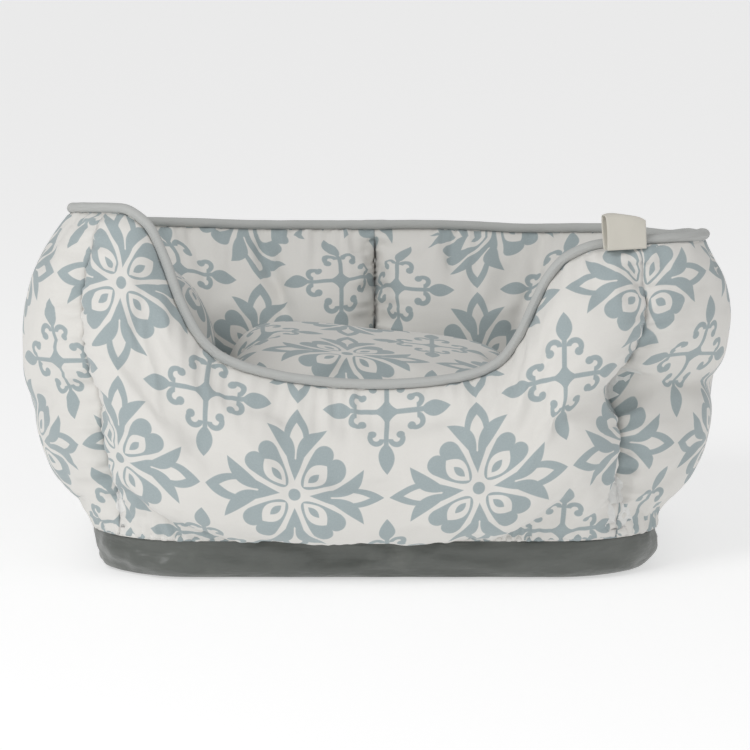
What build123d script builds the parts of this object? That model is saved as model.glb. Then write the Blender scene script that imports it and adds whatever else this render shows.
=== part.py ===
from build123d import *

import os
from math import cos, pi, radians, sin, tan

# A soft rectangular pet bed, in millimetres. The front, with the low entry, faces -Y, and Z is up.
# A stuffed wall stands on a padded base, all sewn to one base seam. A loose cushion lies inside.
# The wall has an outer and an inner skin of printed cloth round its filling, sewn together with a
# piped rim on top and closed by upright seams across the four corners.

# Base seam, where wall, base and lining meet: a rounded rectangle at one height.
seam_half_width = 200.0
seam_half_depth = 160.0
seam_corner = 75.0
seam_height = 28.0

# Rim seam: it leans out from the base seam, dips at the front and is highest at the front corners.
rim_lean = 5.0
entry_height = 133.0
front_corner_height = 238.0
back_height = 205.0
entry_run = (80.0, 165.0)  # arc length from the front centre over which the rim climbs
fall_run = (200.0, 480.0)  # and over which it falls again towards the back
entry_marks = (0.0, 22.0, 45.0, 70.0, 85.0, 98.0, 111.0)  # wall sections before the front corner
corner_steps = 8  # spaces between wall sections round a corner
side_steps = 6  # along a side
back_steps = 5  # and from a back corner to the back centre

# Wall section: how far the skins swell out of and into the bed from the base seam. The inner skin is
# drawn back at the corner seams and swells most in the middle of each wall.
outer_swell = 40.0
inner_corner_swell = 36.0
inner_front_swell = 58.0
inner_side_swell = 82.0
inner_back_swell = 58.0
cloth = 1.2
skin_gap = 0.1
fill_gap = 0.3
tip_room = 3.0  # the filling stops this far short of the rim and base seams
seam_gap = 0.2  # half the gap between pieces at an upright seam

# Piping along the rim.
piping_radius = 3.5
cord_radius = 2.6
cord_clear = 0.05
piping_lift = 1.0
piping_step = 9.5  # between points of the piping's path where the rim climbs
piping_corner_shares = (0.58, 0.75, 0.92)  # and its later points round a front corner
piping_side_shares = (0.4, 0.75)  # and along a side
piping_back_points = 5  # and round a back corner

# Padded base.
base_cloth = 1.2
base_edge_round = 20.0
base_inset = 1.0
base_top_gap = 0.5  # from the base cover's edge to the wall skins
lining_top_gap = 0.6

# Loose cushion.
cushion_half_width = 114.0
cushion_half_depth = 98.0
cushion_corner = 46.0
cushion_low = 33.0
cushion_high = 134.0
cushion_seam_height = 80.0
cushion_top_round = 40.0
cushion_bottom_round = 34.0
cushion_cloth = 1.0
cushion_seam_gap = 0.1

# Zip under the cushion, along X.
zip_y = 45.0
zip_half_length = 74.0
zip_tape_width = 10.0
zip_tape_thick = 0.8
zip_end_room = 20.0  # bare tape at each end, for the slider and its stops
zip_slot = 0.8  # half the gap between the two rows of teeth
tooth_size = (1.6, 2.2, 1.5)
tooth_pitch = 3.2
slider_size = (11.0, 9.0, 1.0)  # each plate of the slider
slider_clear = 0.4
slider_post_half = 1.5
stop_size = (1.6, 6.0, 1.5)
stop_clear = 0.4
zip_room_height = 6.0  # room in the filling over the zip

# Folded label sewn into the rim seam.
label_width = 32.0
label_rise = 24.0
label_thick = 0.8
label_bow = 3.0
label_run = 173.0
label_clear = 1.0

# Thread that shows.
thread = 0.8
stitch_length = 4.0
stitch_count = 14
stitch_margin = 0.08  # share of the seam left without stitches at each end
tack_length = 7.0
thread_clear = 0.5

# Arc lengths along half of the base seam, from the front centre to the back centre.
front_straight = seam_half_width - seam_corner
side_straight = 2 * (seam_half_depth - seam_corner)
corner_arc = seam_corner * pi / 2
side_start = front_straight + corner_arc
side_end = side_start + side_straight
back_start = side_end + corner_arc
half_loop = back_start + front_straight
front_seam = front_straight + corner_arc / 2
back_seam = side_end + corner_arc / 2


def ease(value, run):
    """Smooth step from 0 to 1 over a run of arc length."""
    t = min(1.0, max(0.0, (value - run[0]) / (run[1] - run[0])))
    return t * t * (3 - 2 * t)


def rim_height(s):
    """Height of the rim seam at arc length s from the front centre."""
    climb = (front_corner_height - entry_height) * ease(abs(s), entry_run)
    fall = (front_corner_height - back_height) * ease(abs(s), fall_run)
    return entry_height + climb - fall


def seam_point(s):
    """Point of the base seam and its outward direction in plan, at arc length s."""
    side = 1 if s >= 0 else -1
    s = abs(s)
    corner_x, corner_y = front_straight, side_straight / 2
    if s <= front_straight:
        x, y, nx, ny = s, -seam_half_depth, 0.0, -1.0
    elif s <= side_start:
        turn = (s - front_straight) / seam_corner
        nx, ny = sin(turn), -cos(turn)
        x, y = corner_x + seam_corner * nx, -corner_y + seam_corner * ny
    elif s <= side_end:
        x, y, nx, ny = seam_half_width, s - side_start - corner_y, 1.0, 0.0
    elif s <= back_start:
        turn = (s - side_end) / seam_corner
        nx, ny = cos(turn), sin(turn)
        x, y = corner_x + seam_corner * nx, corner_y + seam_corner * ny
    else:
        x, y, nx, ny = half_loop - s, seam_half_depth, 0.0, 1.0
    return side * x, y, side * nx, ny


def inner_swell(s):
    """How far the inner skin swells into the bed at arc length s."""
    s = abs(s)
    if s <= front_seam:
        share, most = s / front_seam, inner_front_swell
    elif s <= back_seam:
        middle = (front_seam + back_seam) / 2
        share, most = (s - middle) / (back_seam - middle), inner_side_swell
    else:
        share, most = (half_loop - s) / (half_loop - back_seam), inner_back_swell
    return inner_corner_swell + (most - inner_corner_swell) * cos(share * pi / 2) ** 2


def section_plane(s):
    """Upright plane across the wall: local x points out of the bed, local y points up."""
    x, y, nx, ny = seam_point(s)
    return Plane(origin=(x, y, 0), x_dir=(nx, ny, 0), z_dir=(ny, -nx, 0))


def rim_point(s):
    x, y, nx, ny = seam_point(s)
    return Vector(x + rim_lean * nx, y + rim_lean * ny, rim_height(s))


def bowed(low, reach, high):
    """Arc from a low point to a high one, through a given reach half way up."""
    return ThreePointArc(low, (reach, (low[1] + high[1]) / 2), high)


def skin_wire(s, side):
    """Section of one skin: side is 1 for the outer skin and -1 for the inner one."""
    top = rim_height(s)
    reach = outer_swell if side > 0 else -inner_swell(s)
    near, far = side * skin_gap, side * (skin_gap + cloth)
    face = bowed((far, seam_height), reach, (rim_lean + far, top))
    back = bowed((near, seam_height), reach - side * cloth, (rim_lean + near, top))
    ends = [Line(back @ 0, face @ 0), Line(face @ 1, back @ 1)]
    return section_plane(s) * Wire([ends[0], face, ends[1], back])


def fill_wire(s):
    """Section of the wall's filling, clear of both skins."""
    low = (0.0, seam_height + tip_room)
    high = (rim_lean, rim_height(s) - tip_room)
    thin = cloth + fill_gap
    outer, inner = outer_swell - thin, thin - inner_swell(s)
    return section_plane(s) * Wire([bowed(low, outer, high), bowed(low, inner, high)])


def stations(start, end):
    """Arc lengths for the wall's sections: close together in corners and where the rim climbs."""
    corners = [front_straight, side_end]
    marks = {*entry_marks, half_loop}
    marks |= {side_start + side_straight * i / side_steps for i in range(1, side_steps)}
    marks |= {back_start + front_straight * i / back_steps for i in range(1, back_steps)}
    marks |= {c + corner_arc * i / corner_steps for c in corners for i in range(corner_steps + 1)}
    marks |= {side * m for side in (-1, 1) for m in marks}
    inside = sorted(m for m in marks if start + 1 < m < end - 1)
    return [start, *inside, end]


def wall_piece(section, start, end):
    """Solid through sections from one upright seam to the next. The back runs past the half loop."""
    wires = []
    for s in stations(start + seam_gap, end - seam_gap):
        wires.append(section(s))
    return Solid.make_loft(wires, ruled=True)


def back_section(section):
    """Sections of the back counted from the back centre, positive towards +X."""
    return lambda t: section((half_loop - abs(t)) * (1 if t >= 0 else -1))


def back_piece(section, start, end):
    right = [half_loop - m for m in stations(back_seam, half_loop - 1)[1:-1]]
    marks = {0.0, *right, *[-t for t in right]}
    inside = sorted(m for m in marks if start + 1 < m < end - 1)
    wires = [back_section(section)(t) for t in [start + seam_gap, *inside, end - seam_gap]]
    return Solid.make_loft(wires, ruled=True)


def rounded_block(half_x, half_y, corner, low, high, low_round, high_round=0.0):
    """Upright rounded rectangle with its bottom and top edges rounded over."""
    block = extrude(Pos(0, 0, low) * RectangleRounded(2 * half_x, 2 * half_y, corner), high - low)
    block = fillet(block.faces().sort_by(Axis.Z)[0].edges(), low_round)
    if high_round:
        block = fillet(block.faces().sort_by(Axis.Z)[-1].edges(), high_round)
    return block


def wall_parts():
    outer = lambda s: skin_wire(s, 1)
    inner = lambda s: skin_wire(s, -1)
    back_reach = half_loop - back_seam
    made = {
        "outer_front_panel": wall_piece(outer, -front_seam, front_seam),
        "outer_right_panel": wall_piece(outer, front_seam, back_seam),
        "outer_back_panel": back_piece(outer, -back_reach, back_reach),
        "inner_front_panel": wall_piece(inner, -front_seam, front_seam),
        "inner_right_panel": wall_piece(inner, front_seam, back_seam),
        "inner_back_right_panel": back_piece(inner, 0.0, back_reach),
        "front_wall_fill": wall_piece(fill_wire, -front_seam, front_seam),
        "right_wall_fill": wall_piece(fill_wire, front_seam, back_seam),
        "back_wall_fill": back_piece(fill_wire, -back_reach, back_reach),
    }
    for name in [n for n in made if "right" in n]:
        made[name.replace("right", "left")] = mirror(made[name], Plane.YZ)
    return made


def piping_centre(s):
    """Centre of the piping, lifted off the rim seam square to the rim's own slope."""
    step = 0.5
    here, along = rim_point(s), rim_point(s + step) - rim_point(s - step)
    along = along.normalized()
    up = (Vector(0, 0, 1) - along * along.Z).normalized()
    return here + up * (piping_radius + piping_lift)


def piping_path():
    """Closed but for its join at the back centre: straight runs with tangent arcs between them."""
    marks = [entry_run[0] + piping_step * i for i in range(11)]
    marks += [front_straight + corner_arc * share for share in piping_corner_shares]
    marks += [side_start + side_straight * share for share in piping_side_shares]
    marks += [side_end + corner_arc * (i + 0.5) / piping_back_points for i in range(piping_back_points)]
    ring = sorted([-m for m in marks]) + marks
    ends = half_loop - seam_gap
    points = [piping_centre(s) for s in ring]
    tail = rim_point(ends) + Vector(0, 0, piping_radius + piping_lift)
    points = [Vector(-tail.X, tail.Y, tail.Z), *points, tail]
    radii = []
    for before, here, after in zip(points, points[1:], points[2:]):
        runs = [(here - before).length, (after - here).length]
        turn = radians((here - before).get_angle(after - here))
        radii.append(0.45 * min(runs) / tan(turn / 2))
    return FilletPolyline(*points, radius=radii)


def piping_parts():
    path = piping_path()
    start = Plane(origin=path @ 0, z_dir=path % 0)
    ring = Circle(piping_radius) - Circle(cord_radius + cord_clear)
    return {
        "rim_piping": sweep(start * ring, path=path),
        "rim_piping_cord": sweep(start * Circle(cord_radius), path=path),
    }


def base_parts():
    def block(inset, low, high, low_round):
        half_x, half_y = seam_half_width - inset, seam_half_depth - inset
        return rounded_block(half_x, half_y, seam_corner - inset, low, high, low_round)

    inner = base_inset + base_cloth
    tray = block(base_inset, 0.0, seam_height - base_top_gap, base_edge_round)
    hollow = block(inner, base_cloth, seam_height, base_edge_round - base_cloth)
    lining_low = seam_height - lining_top_gap - base_cloth
    lining_inset = inner + fill_gap
    lining_outline = RectangleRounded(
        2 * (seam_half_width - lining_inset),
        2 * (seam_half_depth - lining_inset),
        seam_corner - lining_inset,
    )
    pad_low = base_cloth + fill_gap
    return {
        "base_cover": tray - hollow,
        "base_pad": block(lining_inset, pad_low, lining_low - fill_gap, base_edge_round - pad_low),
        "floor_lining": extrude(Pos(0, 0, lining_low) * lining_outline, base_cloth),
    }


def cushion_block(inset):
    return rounded_block(
        cushion_half_width - inset,
        cushion_half_depth - inset,
        cushion_corner - inset,
        cushion_low + inset,
        cushion_high - inset,
        cushion_bottom_round - inset,
        cushion_top_round - inset,
    )


def box_between(low, high):
    size = [b - a for a, b in zip(low, high)]
    centre = [(a + b) / 2 for a, b in zip(low, high)]
    return Pos(*centre) * Box(*size)


def cushion_parts():
    reach = 300.0
    shell = cushion_block(0.0) - cushion_block(cushion_cloth)
    above = box_between((-reach, -reach, cushion_seam_height + cushion_seam_gap), (reach, reach, reach))
    below = box_between((-reach, -reach, 0), (reach, reach, cushion_seam_height - cushion_seam_gap))
    slot_half = zip_slot + zip_tape_width + seam_gap
    slot_end = zip_half_length + 1
    slot = box_between(
        (-slot_end, zip_y - slot_half, 0),
        (slot_end, zip_y + slot_half, cushion_low + cushion_cloth + fill_gap),
    )
    room = box_between(
        (-slot_end - 1, zip_y - slider_size[1], 0),
        (slot_end + 1, zip_y + slider_size[1], cushion_low + zip_room_height),
    )
    return {
        "cushion_top_panel": shell & above,
        "cushion_bottom_panel": (shell & below) - slot,
        "cushion_fill": cushion_block(cushion_cloth + fill_gap) - room,
    }


def zip_parts():
    tape_low = cushion_low
    tapes = {}
    for name, side in (("zip_tape_front", -1), ("zip_tape_rear", 1)):
        edges = sorted([zip_y + side * zip_slot, zip_y + side * (zip_slot + zip_tape_width)])
        low = (-zip_half_length, edges[0], tape_low)
        high = (zip_half_length, edges[1], tape_low + zip_tape_thick)
        tapes[name] = box_between(low, high)
    teeth = []
    count = int(2 * (zip_half_length - zip_end_room) / tooth_pitch)
    first = -tooth_pitch * (count - 1) / 2
    for row, side in enumerate((-1, 1)):
        y = zip_y + side * (zip_slot + tooth_size[1] / 2)
        for i in range(count):
            x = first + tooth_pitch * (i + row / 2)
            teeth.append(Pos(x, y, tape_low - tooth_size[2] / 2) * Box(*tooth_size))
    plate_x, plate_y, plate_z = slider_size
    under = tape_low - tooth_size[2] - slider_clear
    over = tape_low + zip_tape_thick + slider_clear
    start = first - tooth_pitch - plate_x / 2
    lip = tooth_size[1] + zip_slot + slider_clear
    post_half = zip_slot - slider_clear / 2
    slider = Pos(start, zip_y, under - plate_z / 2) * Box(plate_x, plate_y, plate_z)
    slider += Pos(start, zip_y, over + plate_z / 2) * Box(plate_x, plate_y, plate_z)
    slider += box_between(
        (start - slider_post_half, zip_y - post_half, under),
        (start + slider_post_half, zip_y + post_half, over),
    )
    for side in (-1, 1):
        edges = sorted([zip_y + side * lip, zip_y + side * plate_y / 2])
        low = (start - plate_x / 2, edges[0], under)
        high = (start + plate_x / 2, edges[1], tape_low - slider_clear)
        slider += box_between(low, high)
    stops = []
    stop_room = plate_x / 2 + stop_size[0] / 2 + stop_clear
    for x in (start - stop_room, zip_half_length - stop_size[0] / 2 - stop_clear):
        stops.append(Pos(x, zip_y, tape_low - stop_size[2] / 2) * Box(*stop_size))
    return {
        **tapes,
        "zip_teeth": Compound(children=teeth),
        "zip_stops": Compound(children=stops),
        "zip_slider": slider,
    }


def label_part():
    """Loop of woven ribbon standing on the outer side of the rim, its ends down at the seam."""
    plane = section_plane(label_run)
    base = rim_height(label_run) - label_clear
    half = label_bow / 2 + label_thick
    middle = rim_lean + piping_radius + half + label_clear
    top = base + label_rise - half
    outside = Pos(middle, (base + top) / 2) * Rectangle(2 * half, top - base)
    outside += Pos(middle, top) * Circle(half)
    inside = Pos(middle, (base + top) / 2 - 1) * Rectangle(label_bow, top - base + 2)
    inside += Pos(middle, top) * Circle(label_bow / 2)
    return extrude(plane * (outside - inside), label_width / 2, both=True)


def stitch_parts():
    """Row of thread down the seam inside the back wall, and a crossed tack at each outer corner."""
    far = -(skin_gap + cloth)
    reach = -inner_swell(half_loop)
    face = bowed((far, seam_height), reach, (rim_lean + far, rim_height(half_loop)))
    plane = section_plane(half_loop)
    stitches = []
    for i in range(stitch_count):
        share = stitch_margin + (1 - 2 * stitch_margin) * i / (stitch_count - 1)
        along = face % share
        inward = Vector(-along.Y, along.X)
        spot = Plane(origin=face @ share + inward * (thread_clear + thread / 2), x_dir=inward)
        stitches.append(plane * spot * Box(thread, stitch_length, thread))
    tacks = []
    for s in (front_seam, back_seam, -back_seam, -front_seam):
        x, y, nx, ny = seam_point(s)
        z = (seam_height + rim_height(s)) / 2
        out = outer_swell + thread_clear + thread / 2
        place = Plane(origin=(x + out * nx, y + out * ny, z), x_dir=(-ny, nx, 0), z_dir=(nx, ny, 0))
        for layer, turn in enumerate((-45, 45)):
            bar = Rot(0, 0, turn) * Box(tack_length, thread, thread)
            tacks.append(place * Pos(0, 0, layer * (thread + 0.1)) * bar)
    return {"back_seam_stitches": Compound(children=stitches), "corner_tacks": Compound(children=tacks)}


parts = {
    **wall_parts(),
    **piping_parts(),
    **base_parts(),
    **cushion_parts(),
    **zip_parts(),
    "label": label_part(),
    **stitch_parts(),
}
os.makedirs("parts", exist_ok=True)
for name, shape in parts.items():
    export_step(shape, f"parts/{name}.step")
print(len(parts), "nodes written")
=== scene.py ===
from math import cos, exp, hypot, pi, radians, sin, sqrt

import bmesh
import bpy
from mathutils import Matrix, Vector, noise


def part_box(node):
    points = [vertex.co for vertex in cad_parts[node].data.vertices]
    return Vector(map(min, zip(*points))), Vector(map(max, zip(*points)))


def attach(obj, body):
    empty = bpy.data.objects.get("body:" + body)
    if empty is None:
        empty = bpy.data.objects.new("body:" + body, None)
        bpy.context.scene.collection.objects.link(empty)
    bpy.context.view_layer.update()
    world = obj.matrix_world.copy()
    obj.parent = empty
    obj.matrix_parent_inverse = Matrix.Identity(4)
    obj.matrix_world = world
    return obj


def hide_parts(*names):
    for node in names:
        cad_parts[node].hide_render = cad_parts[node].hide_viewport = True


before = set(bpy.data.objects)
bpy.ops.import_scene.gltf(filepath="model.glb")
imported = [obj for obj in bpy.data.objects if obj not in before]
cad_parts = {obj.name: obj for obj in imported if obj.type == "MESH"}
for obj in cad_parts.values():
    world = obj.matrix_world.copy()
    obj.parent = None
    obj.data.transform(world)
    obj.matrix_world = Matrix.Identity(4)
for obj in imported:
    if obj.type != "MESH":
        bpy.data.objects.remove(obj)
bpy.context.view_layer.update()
print("frame loaded")

# The bed's outline, in metres: s runs along the base seam from the front centre, + towards +X

bed = {
    "halfWidth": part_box("base_cover")[1].x + 0.001,
    "halfDepth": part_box("base_cover")[1].y + 0.001,
    "corner": 0.075,
    "seamHeight": 0.028,
    "rimLean": 0.005,
    "rightLean": 0.027,  # more lean, where the sides flop out
    "leftLean": 0.008,
    "flopStart": (0.13, 0.22),  # distances from the front centre where the lean grows and fades
    "flopEnd": (0.33, 0.5),
    "rimUnrest": 0.0022,
}
# height of the rim seam at distances from the front centre
leftRim = [
    (0, 0.136), (0.05, 0.140), (0.085, 0.146), (0.106, 0.154), (0.122, 0.168), (0.135, 0.193), (0.147, 0.228),
    (0.157, 0.248), (0.172, 0.256), (0.2, 0.254), (0.3, 0.240), (0.48, 0.215), (0.66, 0.211),
]
rightRim = [
    (0, 0.136), (0.045, 0.139), (0.073, 0.144), (0.089, 0.153), (0.102, 0.171), (0.112, 0.193), (0.122, 0.213),
    (0.134, 0.226), (0.152, 0.233), (0.186, 0.235), (0.3, 0.225), (0.48, 0.209), (0.66, 0.211),
]
frontStraight = bed["halfWidth"] - bed["corner"]
sideStraight = 2 * (bed["halfDepth"] - bed["corner"])
cornerArc = bed["corner"] * pi / 2
sideStart = frontStraight + cornerArc
sideEnd = sideStart + sideStraight
halfLoop = sideEnd + cornerArc + frontStraight
frontSeam = frontStraight + cornerArc / 2
backSeam = sideEnd + cornerArc / 2
cornerSeams = (frontSeam, backSeam, -backSeam, -frontSeam)


def eased(value, low, high):
    t = min(1.0, max(0.0, (value - low) / (high - low)))
    return t * t * (3 - 2 * t)


def tabled(table, value):
    # smooth curve through a table's points that never overshoots them
    for (x0, y0), (x1, y1) in zip(table, table[1:]):
        if value <= x1:
            break
    k = table.index((x0, y0))
    slope = (y1 - y0) / (x1 - x0)
    ends = []
    for a, b in ((k - 1, k), (k + 1, k + 2)):
        inside = a >= 0 and b < len(table)
        other = (table[b][1] - table[a][1]) / (table[b][0] - table[a][0]) if inside else 0.0
        ends.append(2 * slope * other / (slope + other) if slope * other > 0 else 0.0)
    t = (value - x0) / (x1 - x0)
    rise = t * t * (3 - 2 * t)
    return y0 + (y1 - y0) * rise + (x1 - x0) * (ends[0] * t * (1 - t) ** 2 - ends[1] * t * t * (1 - t))


def seamPoint(s):
    # a point of the base seam and the way out of the bed there
    side = 1 if s >= 0 else -1
    s = abs(s)
    cornerY = sideStraight / 2
    if s <= frontStraight:
        x, y, nx, ny = s, -bed["halfDepth"], 0.0, -1.0
    elif s <= sideStart:
        turn = (s - frontStraight) / bed["corner"]
        nx, ny = sin(turn), -cos(turn)
        x, y = frontStraight + bed["corner"] * nx, -cornerY + bed["corner"] * ny
    elif s <= sideEnd:
        x, y, nx, ny = bed["halfWidth"], s - sideStart - cornerY, 1.0, 0.0
    elif s <= sideEnd + cornerArc:
        turn = (s - sideEnd) / bed["corner"]
        nx, ny = cos(turn), sin(turn)
        x, y = frontStraight + bed["corner"] * nx, cornerY + bed["corner"] * ny
    else:
        x, y, nx, ny = halfLoop - s, bed["halfDepth"], 0.0, 1.0
    return Vector((side * x, y, 0)), Vector((side * nx, ny, 0))


def rimHeight(s):
    top = tabled(rightRim if s >= 0 else leftRim, abs(s))
    return top + bed["rimUnrest"] * noise.noise(seamPoint(s)[0] * 14 + Vector((0, 0, 5)))


def rimLean(s):
    more = bed["rightLean"] if s > 0 else bed["leftLean"]
    return bed["rimLean"] + more * eased(abs(s), *bed["flopStart"]) * (1 - eased(abs(s), *bed["flopEnd"]))


def rimPoint(s):
    place, out = seamPoint(s)
    return place + out * rimLean(s) + Vector((0, 0, rimHeight(s)))


def capped(move, most):
    return move * (most / move.length) if move.length > most else move


# Helpers for objects and meshes


def setAll(target, **values):
    for key, value in values.items():
        setattr(target, key, value)
    return target


def newObject(name, data):
    made = bpy.data.objects.new(name, data)
    bpy.context.scene.collection.objects.link(made)
    return made


def newPiece(name, bm, body, slot, material, replaces=()):
    mesh = bpy.data.meshes.new(name)
    bm.to_mesh(mesh)
    bm.free()
    mesh.shade_smooth()
    piece = newObject(name, mesh)
    mesh.materials.append(material)
    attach(piece, body)
    if replaces:
        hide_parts(*replaces)
    return piece


def bentGrid(columns, rows, place, flat=None):
    # a grid whose point (i, j) goes to place(i, j), with cloth coordinates flat(i, j, face middle i, j)
    bm = bmesh.new()
    bmesh.ops.create_grid(bm, x_segments=columns, y_segments=rows, size=1)
    uv = bm.loops.layers.uv.new("cloth")
    bm.verts.index_update()
    index = [(round((v.co.x + 1) / 2 * columns), round((v.co.y + 1) / 2 * rows)) for v in bm.verts]
    if flat:
        for face in bm.faces:
            middle = [sum(index[v.index][k] for v in face.verts) / 4 for k in (0, 1)]
            for loop in face.loops:
                loop[uv].uv = flat(*index[loop.vert.index], *middle)
    for v in bm.verts:
        v.co = place(*index[v.index])
    return bm, index


def weld(bm, reach=1e-5):
    bmesh.ops.remove_doubles(bm, verts=bm.verts, dist=reach)
    bmesh.ops.recalc_face_normals(bm, faces=bm.faces)


def capHole(bm, within=0.03, shift=(0.0, 0.0)):
    # closes the small holes around the upright middle axis
    near = [v for v in bm.verts if v.is_boundary and v.co.xy.length < within]
    bmesh.ops.remove_doubles(bm, verts=near, dist=within * 0.12)
    near = [e for e in bm.edges if e.is_boundary and all(v.co.xy.length < within for v in e.verts)]
    made = bmesh.ops.holes_fill(bm, edges=near, sides=0)["faces"]
    made = bmesh.ops.triangulate(bm, faces=made)["faces"]
    uv = bm.loops.layers.uv["cloth"]
    for face in made:
        for loop in face.loops:
            loop[uv].uv = (loop.vert.co.x + shift[0], loop.vert.co.y + shift[1])
    bmesh.ops.recalc_face_normals(bm, faces=bm.faces)
    return made


filledCloth = {
    "mass": 0.3,
    "tension_stiffness": 15,
    "compression_stiffness": 15,
    "shear_stiffness": 5,
    "use_pressure": True,
    "vertex_group_mass": "held",
}


def simulated(bm, pinned, settings):
    # swells the mesh as filled cloth, holding the points that pinned(vert) says, and returns the new places
    mesh = bpy.data.meshes.new("swelling")
    bm.verts.index_update()
    bm.to_mesh(mesh)
    rest = [v.co.copy() for v in mesh.vertices]
    swelling = newObject("swelling", mesh)
    group = swelling.vertex_groups.new(name="held")
    for v in bm.verts:
        weight = pinned(v)
        if weight > 0:
            group.add([v.index], weight, "REPLACE")
    cloth = swelling.modifiers.new("cloth", "CLOTH")
    setAll(cloth.settings, quality=settings["quality"], bending_stiffness=settings["bending"],
           shrink_min=-settings["slack"], uniform_pressure_force=settings["pressure"], **filledCloth)
    cloth.settings.effector_weights.gravity = 0
    cloth.collision_settings.use_collision = False
    cloth.point_cache.frame_start = 1
    cloth.point_cache.frame_end = settings["frames"]
    scene = bpy.context.scene
    for number in range(1, settings["frames"] + 1):
        scene.frame_set(number)
    done = swelling.evaluated_get(bpy.context.evaluated_depsgraph_get())
    places = [v.co.copy() for v in done.data.vertices]
    bpy.data.objects.remove(swelling)
    bpy.data.meshes.remove(mesh)
    scene.frame_set(1)
    return [r + capped(p - r, settings["cap"]) for r, p in zip(rest, places)]


def addModifier(piece, kind, **values):
    return setAll(piece.modifiers.new(kind.lower(), kind), **values)


def smoother(piece, levels=1):
    return addModifier(piece, "SUBSURF", levels=levels, render_levels=levels,
                       boundary_smooth="PRESERVE_CORNERS")


def thickened(piece, thickness, offset=-1):
    return addModifier(piece, "SOLIDIFY", thickness=thickness, offset=offset)


def settle(piece):
    # applies the piece's modifiers
    done = piece.evaluated_get(bpy.context.evaluated_depsgraph_get())
    mesh = bpy.data.meshes.new_from_object(done)
    old = piece.data
    piece.modifiers.clear()
    piece.data = mesh
    mesh.name = piece.name
    bpy.data.meshes.remove(old)
    mesh.shade_smooth()


# Helpers for materials


class Number:
    # a value that runs through a shader's maths nodes
    def __init__(self, tree, socket):
        self.tree, self.socket = tree, socket

    def math(self, operation, *others, clamp=False):
        node = self.tree.nodes.new("ShaderNodeMath")
        node.operation, node.use_clamp = operation, clamp
        for socket, value in zip(node.inputs, (self, *others)):
            if isinstance(value, Number):
                self.tree.links.new(value.socket, socket)
            else:
                socket.default_value = value
        return Number(self.tree, node.outputs[0])

    def __add__(self, other):
        return self.math("ADD", other)

    def __sub__(self, other):
        return self.math("SUBTRACT", other)

    def __mul__(self, other):
        return self.math("MULTIPLY", other)

    def __truediv__(self, other):
        return self.math("DIVIDE", other)

    def __neg__(self):
        return self.math("MULTIPLY", -1.0)

    def __pow__(self, other):
        return self.math("POWER", other)

    def size(self):
        return self.math("ABSOLUTE")

    def least(self, *others):
        result = self
        for other in others:
            result = result.math("MINIMUM", other)
        return result

    def most(self, *others):
        result = self
        for other in others:
            result = result.math("MAXIMUM", other)
        return result

    def limited(self):
        return self.math("ADD", 0.0, clamp=True)


def newMaterial(name):
    material = bpy.data.materials.new(name)
    material.use_nodes = True
    return material, material.node_tree, material.node_tree.nodes["Principled BSDF"]


def addNode(tree, kind, **values):
    return setAll(tree.nodes.new(kind), **values)


def setSockets(node, values):
    for name, value in values.items():
        node.inputs[name].default_value = value


def clothCoordinates(tree):
    uv = addNode(tree, "ShaderNodeUVMap", uv_map="cloth")
    parts = addNode(tree, "ShaderNodeSeparateXYZ")
    tree.links.new(uv.outputs["UV"], parts.inputs[0])
    return uv.outputs["UV"], Number(tree, parts.outputs[0]), Number(tree, parts.outputs[1])


def objectCoordinates(tree):
    return addNode(tree, "ShaderNodeTexCoord").outputs["Object"]


def noiseValue(tree, vector, scale, detail=2.0, roughness=0.5, stretch=None):
    if stretch:
        mapping = addNode(tree, "ShaderNodeMapping")
        tree.links.new(vector, mapping.inputs["Vector"])
        mapping.inputs["Scale"].default_value = stretch
        vector = mapping.outputs[0]
    node = addNode(tree, "ShaderNodeTexNoise")
    tree.links.new(vector, node.inputs["Vector"])
    setSockets(node, {"Scale": scale, "Detail": detail, "Roughness": roughness})
    return Number(tree, node.outputs["Fac"])


def mixed(tree, share, first, second, blend="MIX"):
    node = addNode(tree, "ShaderNodeMix", data_type="RGBA", blend_type=blend)
    for socket, value in ((node.inputs[0], share), (node.inputs[6], first), (node.inputs[7], second)):
        if isinstance(value, Number):
            tree.links.new(value.socket, socket)
        elif isinstance(value, bpy.types.NodeSocket):
            tree.links.new(value, socket)
        elif isinstance(value, (int, float)):
            socket.default_value = value
        else:
            socket.default_value = (*value, 1.0)
    return node.outputs[2]


def raised(tree, shader, *layers):
    # bump from (height in metres as a Number, strength) layers
    normal = None
    for height, strength in layers:
        bump = addNode(tree, "ShaderNodeBump")
        setSockets(bump, {"Strength": strength, "Distance": 1.0})
        tree.links.new(height.socket, bump.inputs["Height"])
        if normal:
            tree.links.new(normal, bump.inputs["Normal"])
        normal = bump.outputs[0]
    tree.links.new(normal, shader.inputs["Normal"])


def weave(u, v, pitch, height):
    # over and under threads of a plain weave
    across = (u * (2 * pi / pitch)).math("SINE")
    along = (v * (2 * pi / pitch)).math("SINE")
    return (across * along) * (height / 2) + (across.size() + along.size()) * (height / 4)


# Materials

printSettings = {
    "pitch": 0.121,
    "ground": (0.735, 0.72, 0.685),
    "motif": (0.335, 0.400, 0.412),
    "motifDark": (0.290, 0.352, 0.368),
    "fleck": (0.9, 0.89, 0.87),
    "groundShade": 0.955,
    "edge": 0.55,  # softness of the print's outlines, in millimetres
    "weavePitch": 0.0011,
    "weaveHeight": 0.00012,
}
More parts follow.
